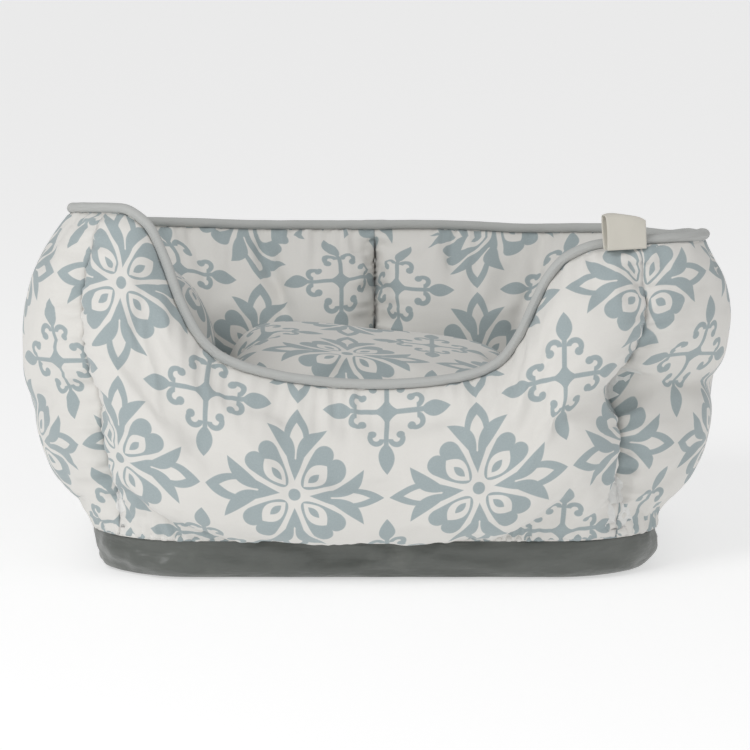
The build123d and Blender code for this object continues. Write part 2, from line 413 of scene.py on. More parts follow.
# outlines in millimetres from the motif's middle: a leaf is its centre, half length, half width and skew
rosetteSizes = {
    "leaf": (34.4, 24.4, 8.0, 0.42),
    "leafHole": (36.6, 13.0, 4.6),
    "lobe": (32.6, 5.9),
    "lobeRadius": 6.3,
    "heartFoot": 7.5,
    "heartLength": 23.0,
    "heartHalf": 12.2,
    "heartGap": 2.3,
    "flankFoot": (35.0, 7.5),
    "flankBend": 0.016,
    "flank": (0.0, 15.8, 4.6),
    "petal": (19.0, 10.6, 6.4, 0.2),
    "core": (17.6, 5.0, 2.4),
    "dotRadius": 4.1,
}
crossSizes = {
    "diamond": 15.0,
    "stemHalf": 1.6,
    "stemLength": 27.0,
    "leaf": (33.2, 10.0, 5.3, -0.15),
    "ring": (19.8, 6.9),
    "ringRadius": 4.2,
    "ringHalf": 1.8,
    "ringCut": (20.4, 8.4),
    "curl": (16.6, 9.6),
    "curlRadius": 2.8,
}


def lens(x, y, centre, half, height, skew=0.0):
    # below 0 inside a pointed leaf along x, fuller beyond its middle where skew is above 0
    t = (x - centre) / half
    return y.size() - (t * t - 1.0) * (t * skew + 1.0) * -height


def distance(x, y, centreX, centreY):
    a, b = x - centreX, y - centreY
    return (a * a + b * b).math("SQRT")


def folded(u, v, shift):
    # millimetres from the nearest motif's middle, folded into one eighth of it: far and near coordinate
    pitch = printSettings["pitch"]
    a, b = ((((part / pitch) + shift).math("FRACT") - 0.5) * (pitch * 1000) for part in (u, v))
    a, b = a.size(), b.size()
    return a.most(b), a.least(b)


def rosette(u, v):
    sizes = rosetteSizes
    far, near = folded(u, v, 0.5)
    d, e = (far + near) * 0.7071, (far - near) * 0.7071  # along and across the diagonal
    leaf = lens(far, near, *sizes["leaf"]).most(-lens(far, near, *sizes["leafHole"]))
    lobe = distance(d, e, *sizes["lobe"]) - sizes["lobeRadius"]
    fromFoot = d - sizes["heartFoot"]
    side = e - (fromFoot / sizes["heartLength"]).limited() ** 0.5 * sizes["heartHalf"]
    heart = lobe.least(side.most(d - sizes["lobe"][0], -fromFoot))
    flankX, flankY = far - sizes["flankFoot"][0], near - sizes["flankFoot"][1]
    p = flankX * 0.80 + flankY * 0.60
    q = flankY * 0.80 - flankX * 0.60
    flank = lens(p, q - p * p * sizes["flankBend"], *sizes["flank"])
    petal = lens(d, e, *sizes["petal"])
    core = lens(d, e, *sizes["core"])
    dot = distance(far, near, 0.0, 0.0) - sizes["dotRadius"]
    return leaf.least(flank).most(-(heart - sizes["heartGap"])).least(heart.most(-petal), core, dot)


def cross(u, v):
    sizes = crossSizes
    far, near = folded(u, v, 0.0)
    diamond = (far.math("SQRT") + near.math("SQRT") - sqrt(sizes["diamond"])) * 4.0
    stem = (near - sizes["stemHalf"]).most(far - sizes["stemLength"])
    leaf = lens(far, near, *sizes["leaf"])
    ring = (distance(far, near, *sizes["ring"]) - sizes["ringRadius"]).size() - sizes["ringHalf"]
    scroll = ring.most(-(far - sizes["ringCut"][0]).most(near - sizes["ringCut"][1]))
    curl = distance(far, near, *sizes["curl"]) - sizes["curlRadius"]
    return diamond.least(stem, leaf, scroll, curl)


def shaded(colour, share):
    return [part * share for part in colour]


def makePrintedCloth():
    material, tree, shader = newMaterial("printedCloth")
    vector, u, v = clothCoordinates(tree)
    shape = rosette(u, v).least(cross(u, v))
    ink = (shape * (-1 / printSettings["edge"]) + 0.5).limited()
    cloudy = noiseValue(tree, vector, 22.0, 3.0)
    fine = noiseValue(tree, vector, 900.0, 2.0)
    paleGround = printSettings["ground"]
    ground = mixed(tree, cloudy, paleGround, shaded(paleGround, printSettings["groundShade"]))
    motif = mixed(tree, cloudy, printSettings["motif"], printSettings["motifDark"])
    printed = mixed(tree, ink, ground, motif)
    flecked = mixed(tree, fine * 0.16, printed, printSettings["fleck"])
    tree.links.new(flecked, shader.inputs["Base Color"])
    setSockets(shader, {"Roughness": 0.86, "Specular IOR Level": 0.25})
    setSockets(shader, {"Sheen Weight": 0.25, "Sheen Roughness": 0.5})
    threads = weave(u, v, printSettings["weavePitch"], printSettings["weaveHeight"])
    crumple = noiseValue(tree, vector, 55.0, 3.0) * 0.0009
    ripple = noiseValue(tree, vector, 20.0, 2.0, stretch=(1.0, 0.35, 1.0)) * 0.0016
    raised(tree, shader, (threads, 0.5), (crumple, 0.7), (ripple, 0.8))
    return material


def makePlainCloth(name, colour, pitch, sheen=0.2, roughness=0.85, twill=False):
    material, tree, shader = newMaterial(name)
    vector, u, v = clothCoordinates(tree)
    cloudy = noiseValue(tree, vector, 30.0, 3.0)
    height = pitch * 0.16
    threads = weave(u + v, v - u, pitch * 1.414, height) if twill else weave(u, v, pitch, height)
    shade = (threads * (0.5 / height) + 0.5).limited()
    base = mixed(tree, cloudy, colour, shaded(colour, 0.86))
    tree.links.new(mixed(tree, shade * 0.35, base, shaded(colour, 0.7)), shader.inputs["Base Color"])
    setSockets(shader, {"Roughness": roughness, "Sheen Weight": sheen, "Specular IOR Level": 0.25})
    crumple = noiseValue(tree, vector, 60.0, 3.0) * 0.0008
    raised(tree, shader, (threads, 0.6), (crumple, 0.6))
    return material


def makeCoatedCloth():
    material, tree, shader = newMaterial("coatedBaseCloth")
    vector, u, v = clothCoordinates(tree)
    place = objectCoordinates(tree)
    blotch = noiseValue(tree, place, 26.0, 4.0, 0.6)
    # pale patches mixed into the colour are painted highlights, standing in for the coated cloth's glints
    paintedGlints = ((noiseValue(tree, place, 11.0, 5.0, 0.65) - 0.56) * 5.0).limited()
    base = mixed(tree, blotch, (0.085, 0.092, 0.084), (0.135, 0.144, 0.132))
    tree.links.new(mixed(tree, paintedGlints * 0.35, base, (0.30, 0.31, 0.28)), shader.inputs["Base Color"])
    rough = blotch * 0.20 + 0.28
    tree.links.new(rough.socket, shader.inputs["Roughness"])
    setSockets(shader, {"Specular IOR Level": 0.5, "Sheen Weight": 0.15})
    threads = weave(u, v, 0.0009, 0.00006)
    crease = noiseValue(tree, vector, 24.0, 4.0, 0.55, stretch=(0.55, 1.6, 1.0)) * 0.0060
    small = noiseValue(tree, vector, 90.0, 3.0) * 0.0006
    raised(tree, shader, (threads, 0.5), (small, 0.7), (crease, 0.8))
    return material


grainedFinishes = {
    # grain: scale, detail, roughness and stretch. bump: height and strength
    "fibreFilling": {
        "grain": (120.0, 6.0, 0.7),
        "colours": ((0.9, 0.9, 0.88), (0.72, 0.72, 0.70)),
        "bump": (0.003, 0.8),
        "sockets": {"Base Color": (0.9, 0.9, 0.88, 1), "Roughness": 1.0, "Sheen Weight": 0.4},
    },
    "sewingThread": {
        "grain": (1800.0, 2.0),
        "colours": ((0.62, 0.62, 0.59), (0.45, 0.46, 0.44)),
        "bump": (0.0001, 0.6),
        "sockets": {"Roughness": 0.54, "Sheen Weight": 0.3},
    },
    "zipNylon": {
        "grain": (900.0, 2.0),
        "colours": ((0.30, 0.31, 0.31), (0.36, 0.37, 0.37)),
        "bump": (0.00005, 0.5),
        "sockets": {"Roughness": 0.42},
    },
    "zipMetal": {
        "grain": (700.0, 3.0, 0.5, (1.0, 0.1, 1.0)),
        "colours": ((0.62, 0.62, 0.60), (0.46, 0.46, 0.45)),
        "bump": (0.00004, 0.4),
        "sockets": {"Metallic": 1.0},
        "roughness": (0.2, 0.25),  # how much the grain adds, and the least
    },
}


def makeGrained(name):
    finish = grainedFinishes[name]
    material, tree, shader = newMaterial(name)
    grain = noiseValue(tree, objectCoordinates(tree), *finish["grain"])
    setSockets(shader, finish["sockets"])
    tree.links.new(mixed(tree, grain, *finish["colours"]), shader.inputs["Base Color"])
    if "roughness" in finish:
        more, least = finish["roughness"]
        tree.links.new((grain * more + least).socket, shader.inputs["Roughness"])
    height, strength = finish["bump"]
    raised(tree, shader, (grain * height, strength))
    return material


printedCloth = makePrintedCloth()
pipingCloth = makePlainCloth("pipingCloth", (0.54, 0.55, 0.535), 0.0009, twill=True)
cordCotton = makePlainCloth("cordCotton", (0.78, 0.76, 0.70), 0.0012)
floorCloth = makePlainCloth("floorCloth", (0.30, 0.315, 0.305), 0.0010)
tapeCloth = makePlainCloth("zipTapeCloth", (0.28, 0.29, 0.285), 0.0007, twill=True)
ribbonCloth = makePlainCloth("labelRibbon", (0.74, 0.71, 0.63), 0.0008, sheen=0.35, roughness=0.7)
coatedCloth = makeCoatedCloth()
filling = makeGrained("fibreFilling")
sewingThread = makeGrained("sewingThread")
zipNylon = makeGrained("zipNylon")
zipMetal = makeGrained("zipMetal")
print("materials made")

# Wall: one ring of cloth, up the outer skin, over the rim seam and down the inner one

wall = {
    "columnsFront": 96,
    "columnsSide": 58,
    "columnsBackHalf": 37,
    "rows": 44,
    "matchRow": 37,
    "outerSwell": 0.038,
    "innerCorner": 0.036,
    "innerFront": 0.056,
    "innerSide": 0.083,
    "innerBack": 0.056,
    "outerFullness": 2.8,
    "innerFullness": 2.4,
    "outerTaut": 0.65,  # how far a leaning rim flattens the outer skin and fills the inner one
    "innerSlack": 0.4,
    "seamGroove": 0.009,
    "innerGroove": 1.3,
    "grooveWidth": 0.013,
    "centreGroove": 0.030,
    "centreWidth": 0.012,
    "grooveFade": 0.012,
    "cornerDrag": 0.013,
    "dragReach": 0.06,
    "fillInset": 0.006,
    "thickness": 0.0010,
    "innerCap": 0.005,
    "topHeavy": 1.4,
    "innerTopHeavy": 1.2,
    "sag": 0.005,
    "frontSag": 0.014,
    "puckerDepth": 0.0018,
    "puckerReach": 0.014,
    "puckerPitch": 0.0095,
    "gatherDepth": 0.0013,
    "gatherReach": 0.034,
    "gatherPitch": 0.024,
    "seamPitch": 0.011,
    "sewnEdge": 0.002,
}
wallSwelling = {"quality": 4, "bending": 0.4, "slack": 0.05, "pressure": 4.5, "frames": 16, "cap": 0.013}
# tacks that pull the outer corner seams in: s, share of the height, depth, reach
tacks = [
    (frontSeam, 0.50, 0.030, 0.022),
    (-frontSeam, 0.42, 0.009, 0.024),
    (backSeam, 0.5, 0.012, 0.024),
    (-backSeam, 0.5, 0.012, 0.024),
]
# print phase of each panel: u and v of its bottom centre
printPhase = {
    "outerFront": (0.0500, 0.0510),
    "outerSide": (0.0500, 0.0510),
    "outerBack": (0.0, 0.0100),
    "innerFront": (0.02, 0.020),
    "innerSide": (0.010, 0.0450),
    "innerBackLeft": (-0.0208, 0.0165),
    "innerBackRight": (0.0305, 0.0235),
}


def innerSwell(s):
    s = abs(s)
    if s <= frontSeam:
        share, most = s / frontSeam, wall["innerFront"]
    elif s <= backSeam:
        middle = (frontSeam + backSeam) / 2
        share, most = (s - middle) / (backSeam - middle), wall["innerSide"]
    else:
        share, most = (halfLoop - s) / (halfLoop - backSeam), wall["innerBack"]
    return wall["innerCorner"] + (most - wall["innerCorner"]) * cos(share * pi / 2) ** 2


def alongTo(s, target):
    # distance along the seam, the short way round
    gap = abs(s - target) % (2 * halfLoop)
    return min(gap, 2 * halfLoop - gap)


def grooveDepth(s, side, t):
    # how far the seams pull the skin in
    depth = 0.0
    ends = eased(t, 0.0, 0.12) * eased(1 - t, 0.0, 0.12)
    most = wall["seamGroove"] * (wall["innerGroove"] if side < 0 else 1.0) * ends
    for seam in cornerSeams:
        depth += most * exp(-alongTo(s, seam) / wall["grooveWidth"])
    if side < 0:
        return depth + wall["centreGroove"] * ends * exp(-alongTo(s, halfLoop) / wall["centreWidth"])
    for seam, share, pull, reach in tacks:
        away = hypot(alongTo(s, seam), (t - share) * (rimHeight(seam) - bed["seamHeight"]))
        depth += pull * exp(-away / reach)
    return depth


def shifted(s):
    # the front right corner's seam is dragged towards the front
    return s - wall["cornerDrag"] * exp(-((s - frontSeam) / wall["dragReach"]) ** 2)


def wallPlace(s, side, t):
    place, out = seamPoint(shifted(s))
    top = rimHeight(shifted(s))
    lean = rimLean(s)
    flop = lean - bed["rimLean"]
    if side > 0:
        swell = wall["outerSwell"] - wall["outerTaut"] * flop
        power = wall["outerFullness"]
        rise = t ** wall["topHeavy"]
    else:
        swell = innerSwell(s) + wall["innerSlack"] * flop
        power = wall["innerFullness"]
        rise = t ** wall["innerTopHeavy"]
    reach = swell * (1 - abs(2 * rise - 1) ** power)
    swell = reach - grooveDepth(s, side, t) * min(1.0, reach / wall["grooveFade"])
    sag = wall["sag"] + wall["frontSag"] * cos(pi / 2 * min(1.0, abs(s) / frontSeam)) ** 2
    sag *= sin(pi * min(1.0, t / 0.5)) ** 2 if side > 0 else 0.0
    height = bed["seamHeight"] + (top - bed["seamHeight"]) * t - sag
    return place + out * (side * swell + lean * t) + Vector((0, 0, height))


def spread(low, high, count):
    # columns as far apart along the rim as along the seam, on average
    fine = [low + (high - low) * i / 400 for i in range(401)]
    reach = [0.0]
    for a, b in zip(fine, fine[1:]):
        reach.append(reach[-1] + 0.5 * (b - a) + 0.5 * (rimPoint(b) - rimPoint(a)).length)
    places, k = [], 0
    for i in range(count):
        target = reach[-1] * i / count
        while reach[k + 1] < target:
            k += 1
        step = fine[k + 1] - fine[k]
        places.append(fine[k] + step * (target - reach[k]) / (reach[k + 1] - reach[k]))
    return places


seamColumns = (
    spread(-halfLoop, -backSeam, wall["columnsBackHalf"])
    + spread(-backSeam, -frontSeam, wall["columnsSide"])
    + spread(-frontSeam, frontSeam, wall["columnsFront"])
    + spread(frontSeam, backSeam, wall["columnsSide"])
    + spread(backSeam, halfLoop, wall["columnsBackHalf"])
    + [halfLoop]
)
panelEnds = [0]
for count in ("columnsBackHalf", "columnsSide", "columnsFront", "columnsSide", "columnsBackHalf"):
    panelEnds.append(panelEnds[-1] + wall[count])
columnCount, rowCount = panelEnds[-1], wall["rows"]


def panelRow(side, first, last, phase, centre=None):
    # (side, first column, last column, centre column, print phase) between two of the panel ends
    middle = (panelEnds[first] + panelEnds[last]) // 2 if centre is None else panelEnds[centre]
    return side, panelEnds[first], panelEnds[last], middle, phase


wallPanels = {
    "outer_front_panel": panelRow(1, 2, 3, "outerFront"),
    "outer_right_panel": panelRow(1, 3, 4, "outerSide"),
    "outer_left_panel": panelRow(1, 1, 2, "outerSide"),
    "outer_back_panel": panelRow(1, 4, 1, "outerBack", 0),
    "inner_front_panel": panelRow(-1, 2, 3, "innerFront"),
    "inner_right_panel": panelRow(-1, 3, 4, "innerSide"),
    "inner_left_panel": panelRow(-1, 1, 2, "innerSide"),
    "inner_back_left_panel": panelRow(-1, 0, 1, "innerBackLeft", 0),
    "inner_back_right_panel": panelRow(-1, 4, 5, "innerBackRight", 5),
}
wallFills = {
    "front_wall_fill": ["outer_front_panel", "inner_front_panel"],
    "right_wall_fill": ["outer_right_panel", "inner_right_panel"],
    "left_wall_fill": ["outer_left_panel", "inner_left_panel"],
    "back_wall_fill": ["outer_back_panel", "inner_back_left_panel", "inner_back_right_panel"],
}
panelNumber = {name: i for i, name in enumerate(wallPanels)}


def panelOf(column, side):
    for name, (panelSide, first, last, *_) in wallPanels.items():
        within = first < column < last or first > last and not last < column < first
        if panelSide == side and within:
            return name


def vertexLayers(bm, *names):
    return [bm.verts.layers.float[name] for name in names]


def wallGridPlace(i, j):
    # rows 0 to rowCount climb the outer skin, and the rest go down the inner one
    side = 1 if j <= rowCount else -1
    t = j / rowCount if side > 0 else (2 * rowCount - j) / rowCount
    return wallPlace(seamColumns[i], side, t)


def makeWallRing():
    places = [[wallGridPlace(i, j) for j in range(2 * rowCount + 1)] for i in range(columnCount + 1)]
    up = []  # cloth distance from the base seam, for each point
    for column in places:
        heights = [0.0]
        for a, b in zip(column, column[1:rowCount + 1]):
            heights.append(heights[-1] + (b - a).length)
        back = [0.0]
        for a, b in zip(column[::-1], column[::-1][1:rowCount + 1]):
            back.append(back[-1] + (b - a).length)
        up.append(heights + back[::-1][1:])
    along = [[0.0] * (2 * rowCount + 1)]  # cloth distance round the bed, level with the floor
    for i in range(columnCount):
        line = []
        for j in range(2 * rowCount + 1):
            step = places[i + 1][j] - places[i][j]
            line.append(along[-1][j] + hypot(step.x, step.y))
        along.append(line)

    def flat(i, j, middleI, middleJ):
        name = panelOf(middleI, 1 if middleJ < rowCount else -1)
        side, first, last, centre, phase = wallPanels[name]
        u = along[i][j] - along[centre][j]
        if first > last and i > columnCount / 2:
            u = along[i][j] - along[columnCount][j]
        shift = printPhase[phase]
        if phase == "outerSide":
            # the print runs on from the front panel at the height of matchRow
            row, front = wall["matchRow"], wallPanels["outer_front_panel"][3]
            u += along[centre][row] - along[front][row]
        return u * side + shift[0], up[i][j] + shift[1]

    bm, index = bentGrid(columnCount, 2 * rowCount, lambda i, j: places[i][j], flat)
    panel = bm.faces.layers.int.new("panel")
    held, run, rise, side = [bm.verts.layers.float.new(name) for name in ("held", "run", "rise", "side")]
    for face in bm.faces:
        middle = [sum(index[v.index][k] for v in face.verts) / 4 for k in (0, 1)]
        face[panel] = panelNumber[panelOf(middle[0], 1 if middle[1] < rowCount else -1)]
    for v in bm.verts:
        i, j = index[v.index]
        atSeam = i in panelEnds[1:5] or i in (0, columnCount) and j > rowCount
        v[held] = 1.0 if j in (0, rowCount, 2 * rowCount) or atSeam else 0.0
        v[run] = seamColumns[i]
        v[rise] = min(j, 2 * rowCount - j) / rowCount
        v[side] = 1.0 if j <= rowCount else -1.0
    weld(bm)
    return bm


def swellWall(bm):
    held, rise, side = vertexLayers(bm, "held", "rise", "side")
    bm.verts.ensure_lookup_table()
    rest = [v.co.copy() for v in bm.verts]
    places = simulated(bm, lambda v: v[held], wallSwelling)
    for v, before, after in zip(bm.verts, rest, places):
        most = wallSwelling["cap"] if v[side] > 0 else wall["innerCap"]
        share = eased(min(v[rise], 1 - v[rise]), -0.03, 0.13)
        v.co = before + capped(after - before, most) * share


# creases added after the swelling: side, s, share of the height, length along s and up, depth, lean
creases = [
    (1, frontSeam + 0.050, 0.50, 0.075, 0.011, 0.018, -0.06),
    (1, frontSeam - 0.002, 0.24, 0.008, 0.056, 0.013, 0.0),
    (1, frontSeam + 0.004, 0.66, 0.006, 0.026, 0.007, 0.25),
    (1, frontSeam - 0.040, 0.47, 0.030, 0.008, 0.006, 0.20),
    (1, frontSeam + 0.030, 0.20, 0.006, 0.030, 0.006, 0.5),
    (1, -frontSeam - 0.028, 0.44, 0.036, 0.006, 0.008, 0.25),
    (1, -frontSeam + 0.002, 0.20, 0.007, 0.042, 0.011, 0.0),
    (1, -frontSeam + 0.034, 0.37, 0.030, 0.007, 0.005, -0.3),
    (1, frontSeam + 0.085, 0.82, 0.007, 0.030, 0.006, 0.4),
    (1, -frontSeam - 0.080, 0.75, 0.008, 0.045, 0.005, -0.2),
    (1, -0.120, 0.55, 0.006, 0.030, 0.005, 0.5),
    (1, 0.118, 0.60, 0.006, 0.028, 0.005, -0.5),
    (-1, -halfLoop + 0.078, 0.84, 0.006, 0.040, 0.020, 0.3),
    (-1, -halfLoop + 0.045, 0.90, 0.005, 0.020, 0.006, -0.2),
    (-1, halfLoop - 0.118, 0.82, 0.007, 0.036, 0.013, -0.3),
    (-1, halfLoop - 0.060, 0.90, 0.005, 0.020, 0.005, 0.2),
    (-1, -backSeam, 0.80, 0.010, 0.060, 0.012, 0.0),
    (-1, backSeam, 0.80, 0.010, 0.060, 0.010, 0.0),
    (-1, -backSeam - 0.05, 0.88, 0.006, 0.026, 0.006, 0.3),
]
dents = [(8.0, 0.0045, 0.0), (19.0, 0.0022, 7.0), (43.0, 0.0009, 3.0)]  # scale, depth, seed


def addCreases(bm):
    run, rise, side = vertexLayers(bm, "run", "rise", "side")
    bm.normal_update()
    moves = {}
    for v in bm.verts:
        s, t = v[run], v[rise]
        height = rimHeight(s) - bed["seamHeight"]
        depth = 0.0
        for creaseSide, place, share, wide, tall, deep, lean in creases:
            if creaseSide * v[side] < 0:
                continue
            up = (t - share) * height
            across = (s - place + halfLoop) % (2 * halfLoop) - halfLoop
            narrow = wide < tall
            if narrow:
                across -= lean * up
            else:
                up -= lean * across
            if abs(across) < 4 * wide and abs(up) < 4 * tall:
                a = abs(across) / wide
                b = abs(up) / tall
                depth += deep * (exp(-a - b * b) if narrow else exp(-b - a * a))
        soft = 0
        for scale, deep, seed in dents:
            soft += deep * noise.noise(v.co * scale + Vector((seed, 0, seed)))
        ends = eased(t, 0.0, 0.06) * eased(1 - t, 0.0, 0.05)
        moves[v] = v.normal * ((soft - depth) * ends)
    for v, move in moves.items():
        v.co += move


def addPuckers(piece, grooves):
    # small gathers where the cloth is sewn, shorter than the swelling's own mesh can hold
    mesh = piece.data
    run, rise = mesh.attributes["run"].data, mesh.attributes["rise"].data
    normals = [v.normal.copy() for v in mesh.vertices]
    for v in mesh.vertices:
        s, t = run[v.index].value, rise[v.index].value
        height = rimHeight(s) - bed["seamHeight"]
        fromRim, fromBase = (1 - t) * height * 1.1, t * height * 1.1
        edge = exp(-fromRim / wall["puckerReach"]) * 0.9 + exp(-fromBase / wall["puckerReach"]) * 1.3
        wave = sin(2 * pi * s / wall["puckerPitch"] + 5 * noise.noise(Vector((s * 30, t * 3, 1.7))))
        share = 0.5 + 0.9 * noise.noise(Vector((s * 26, 9.1, t * 4)))
        move = wall["puckerDepth"] * edge * wave * max(0.0, share)
        wave = sin(2 * pi * s / wall["gatherPitch"] + 9 * noise.noise(Vector((s * 9, t * 2, 6.7))))
        edge = exp(-(fromRim / wall["gatherReach"]) ** 1.5)
        move += wall["gatherDepth"] * edge * wave * max(0.0, share)
        for seam in grooves:
            near = exp(-alongTo(s, seam) / wall["puckerReach"])
            wave = sin(2 * pi * t * height / wall["seamPitch"] + 4 * noise.noise(Vector((s * 20, t * 30, 4.2))))
            move += wall["puckerDepth"] * 0.9 * near * wave
        fade = min(1.0, fromRim / wall["sewnEdge"]) * min(1.0, fromBase / wall["sewnEdge"])
        for seam in grooves:
            fade *= min(1.0, alongTo(s, seam) / wall["sewnEdge"])
        v.co += normals[v.index] * (move * fade)


def onlyPanels(bm, names):
    numbers = [panelNumber[name] for name in names]
    part = bm.copy()
    panel = part.faces.layers.int["panel"]
    others = [f for f in part.faces if f[panel] not in numbers]
    bmesh.ops.delete(part, geom=others, context="FACES")
    return part


def makeWallFill(bm, name, panels):
    part = onlyPanels(bm, panels)
    part.normal_update()
    run, rise = vertexLayers(part, "run", "rise")
    inset = {}
    for v in part.verts:
        # kept well inside the skins, most of all beside the seams, where they come together
        s, t = v[run], v[rise]
        middle = wallPlace(s, 1, t).lerp(wallPlace(s, -1, t), 0.5)
        middle.z = v.co.z + 0.007 * (1 - eased(t, 0.0, 0.1)) - 0.009 * (1 - eased(1 - t, 0.0, 0.1))
        away = v.co - middle
        near = max(0.0, away.length - wall["fillInset"]) / max(away.length, 1e-6)
        inset[v] = middle + away * near
    for v, place in inset.items():
        v.co = place
    bmesh.ops.holes_fill(part, edges=[e for e in part.edges if e.is_boundary], sides=0)
    bmesh.ops.recalc_face_normals(part, faces=part.faces)
    fill = newPiece(name + "_wadding", part, "bed", "fibre_filling", filling, [name])


def makeWall():
    bm = makeWallRing()
    swellWall(bm)
    addCreases(bm)
    for name, (side, *_) in wallPanels.items():
        part = onlyPanels(bm, [name])
        piece = newPiece(name + "_cloth", part, "bed", "printed_cloth", printedCloth, [name])
        smoother(piece)
        settle(piece)
        addPuckers(piece, cornerSeams if side > 0 else (*cornerSeams, halfLoop))
        thickened(piece, wall["thickness"])
    for name, panels in wallFills.items():
        makeWallFill(bm, name, panels)
    return bm


wallRing = makeWall()
print("wall made")

# Piping and its cord, round the rim

piping = {
    "radius": 0.0036,
    "cordRadius": 0.0026,
    "lift": 0.0031,
    "along": 524,
    "around": 14,
    "cordAround": 8,
    "joinHalf": 0.008,
    "joinMore": 0.09,
    "unrest": 0.05,
}


def pipingCentre(s):
    step = 0.0015
    here = rimPoint(s)
    ahead = s + step if s + step <= halfLoop else s + step - 2 * halfLoop
    behind = s - step if s - step >= -halfLoop else s - step + 2 * halfLoop
    along = (rimPoint(ahead) - rimPoint(behind)).normalized()
    up = (Vector((0, 0, 1)) - along * along.z).normalized()
    return here + up * piping["lift"], along, up


def pipingTube(radius, around, detailed):
    count = piping["along"]

    def place(i, j):
        s = -halfLoop + 2 * halfLoop * (i % count) / count
        centre, along, up = pipingCentre(s)
        across = along.cross(up)
        angle = 2 * pi * j / around
        thick = radius
        if detailed:
            twist = noise.noise(Vector((s * 90, angle * 0.6, 2.0)))
            atJoin = abs(s) > halfLoop - piping["joinHalf"]
            thick *= 1 + piping["unrest"] * twist + piping["joinMore"] * atJoin
        return centre + (across * cos(angle) + up * sin(angle)) * thick

    def flat(i, j, middleI, middleJ):
        return 2 * halfLoop * i / count, 2 * pi * radius * j / around

    bm = bentGrid(count, around, place, flat)[0]
    weld(bm)
    return bm


def makePiping():
    tube = newPiece("rim_piping_cloth", pipingTube(piping["radius"], piping["around"], True),
                    "bed", "piping_cloth", pipingCloth, ["rim_piping"])
    smoother(tube)
    newPiece("rim_piping_filler_cord", pipingTube(piping["cordRadius"], piping["cordAround"], False),
             "bed", "piping_cord", cordCotton, ["rim_piping_cord"])


makePiping()
print("piping made")

# Base: cover, pad and the lining over it

base = {
    "columns": 300,
    "sideRows": 12,
    "bottomRings": 14,
    "edgeRound": 0.016,
    "inset": 0.001,
    "swell": 0.002,
    "foldDepth": 0.0050,
    "foldMost": 0.0022,  # as far in as the pad allows
    "middle": 0.93,  # share of the way in that the rings reach
    "liningColumns": 132,
    "liningRings": 26,
    "liningInset": 0.002,
    "liningSink": 0.0012,
    "liningWaves": 0.0016,
    "liningThickness": 0.0008,
    "padColumns": 100,
    "padSection": [  # inset and height, from the top's middle to the underside's
        (0.0, 0.0225), (0.0075, 0.0225), (0.0065, 0.018), (0.0080, 0.012), (0.0130, 0.006), (0.0230, 0.0022),
        (0.0, 0.0022),
    ],
}


def baseOutline(i, count):
    return -halfLoop + 2 * halfLoop * (i % count) / count


def baseCoverPlace(i, j):
    s = baseOutline(i, base["columns"])
    place, out = seamPoint(s)
    top, rows, rings = bed["seamHeight"], base["sideRows"], base["bottomRings"]
    if j <= rows:
        t = j / rows  # down the side and round its lower edge
        angle = t * pi / 2
        power = 0.62
        inset = base["edgeRound"] * (1 - cos(angle) ** power)
        height = top * (1 - sin(angle) ** (1 / power * 0.9))
        ridge = 1 - 2 * abs(noise.noise(Vector((s * 17, height * 70 + s * 9, 3.3))))
        ridge += 0.5 - abs(noise.noise(Vector((s * 44, height * 60 - s * 22, 8.3))))
        fold = max(-base["foldMost"], base["foldDepth"] * sin(pi * t) * (ridge - 0.7))
        outwards = fold + base["swell"] * sin(pi * t) - inset - base["inset"]
        return place + out * outwards + Vector((0, 0, height))
    share = 1 - base["middle"] * (j - rows) / rings
    edge = place + out * (-base["edgeRound"] - base["inset"])
    return Vector((edge.x * share, edge.y * share, 0.0))


def makeBaseCover():
    rows = base["sideRows"] + base["bottomRings"]

    def flat(i, j, middleI, middleJ):
        place = baseCoverPlace(i, j)
        if middleJ < base["sideRows"]:
            down = bed["seamHeight"] * 1.3 * j / base["sideRows"]
            return 2 * halfLoop * i / base["columns"], down
        return place.x, place.y

    bm = bentGrid(base["columns"], rows, baseCoverPlace, flat)[0]
    weld(bm)
    capHole(bm)
    bm.normal_update()
    if min(bm.faces, key=lambda f: f.calc_center_median().z).normal.z > 0:
        bmesh.ops.reverse_faces(bm, faces=bm.faces)
    cover = newPiece("base_cover_cloth", bm, "bed", "coated_base_cloth", coatedCloth, ["base_cover"])
    smoother(cover)
    thickened(cover, wall["thickness"])


def ringedSheet(columns, rings, heightOf, startInset):
    # a sheet in rings that shrink from the base seam to its middle
    def place(i, j):
        point, out = seamPoint(baseOutline(i, columns))
        point = point - out * startInset
        share = 1 - base["middle"] * j / rings
        flatPoint = Vector((point.x * share, point.y * share, 0))
        return flatPoint + Vector((0, 0, heightOf(flatPoint, j / rings)))

    def flat(i, j, middleI, middleJ):
        spot = place(i, j)
        return spot.x, spot.y

    return bentGrid(columns, rings, place, flat)[0]


def liningHeight(place, share):
    waves = noise.noise(place * 22 + Vector((1, 2, 3))) + 0.5 * noise.noise(place * 55)
    return bed["seamHeight"] - base["liningSink"] + base["liningWaves"] * waves * eased(share, 0.0, 0.15)


def makeLining():
    bm = ringedSheet(base["liningColumns"], base["liningRings"], liningHeight, base["liningInset"])
    weld(bm)
    capHole(bm)
    for face in bm.faces:
        if face.normal.z < 0:
            face.normal_flip()
    lining = newPiece("floor_lining_cloth", bm, "bed", "floor_cloth", floorCloth, ["floor_lining"])
    smoother(lining)
    thickened(lining, base["liningThickness"])


def makeBasePad():
    section = base["padSection"]

    def place(i, j):
        point, out = seamPoint(baseOutline(i, base["padColumns"]))
        inset, height = section[j]
        if j in (0, len(section) - 1):
            return Vector((0, 0, height))
        spot = point - out * inset
        return Vector((spot.x, spot.y, height))

    bm = bentGrid(base["padColumns"], len(section) - 1, place)[0]
    weld(bm)
    pad = newPiece("base_pad_wadding", bm, "bed", "fibre_filling", filling, ["base_pad"])


makeBaseCover()
makeLining()
makeBasePad()
print("base made")

# Loose cushion

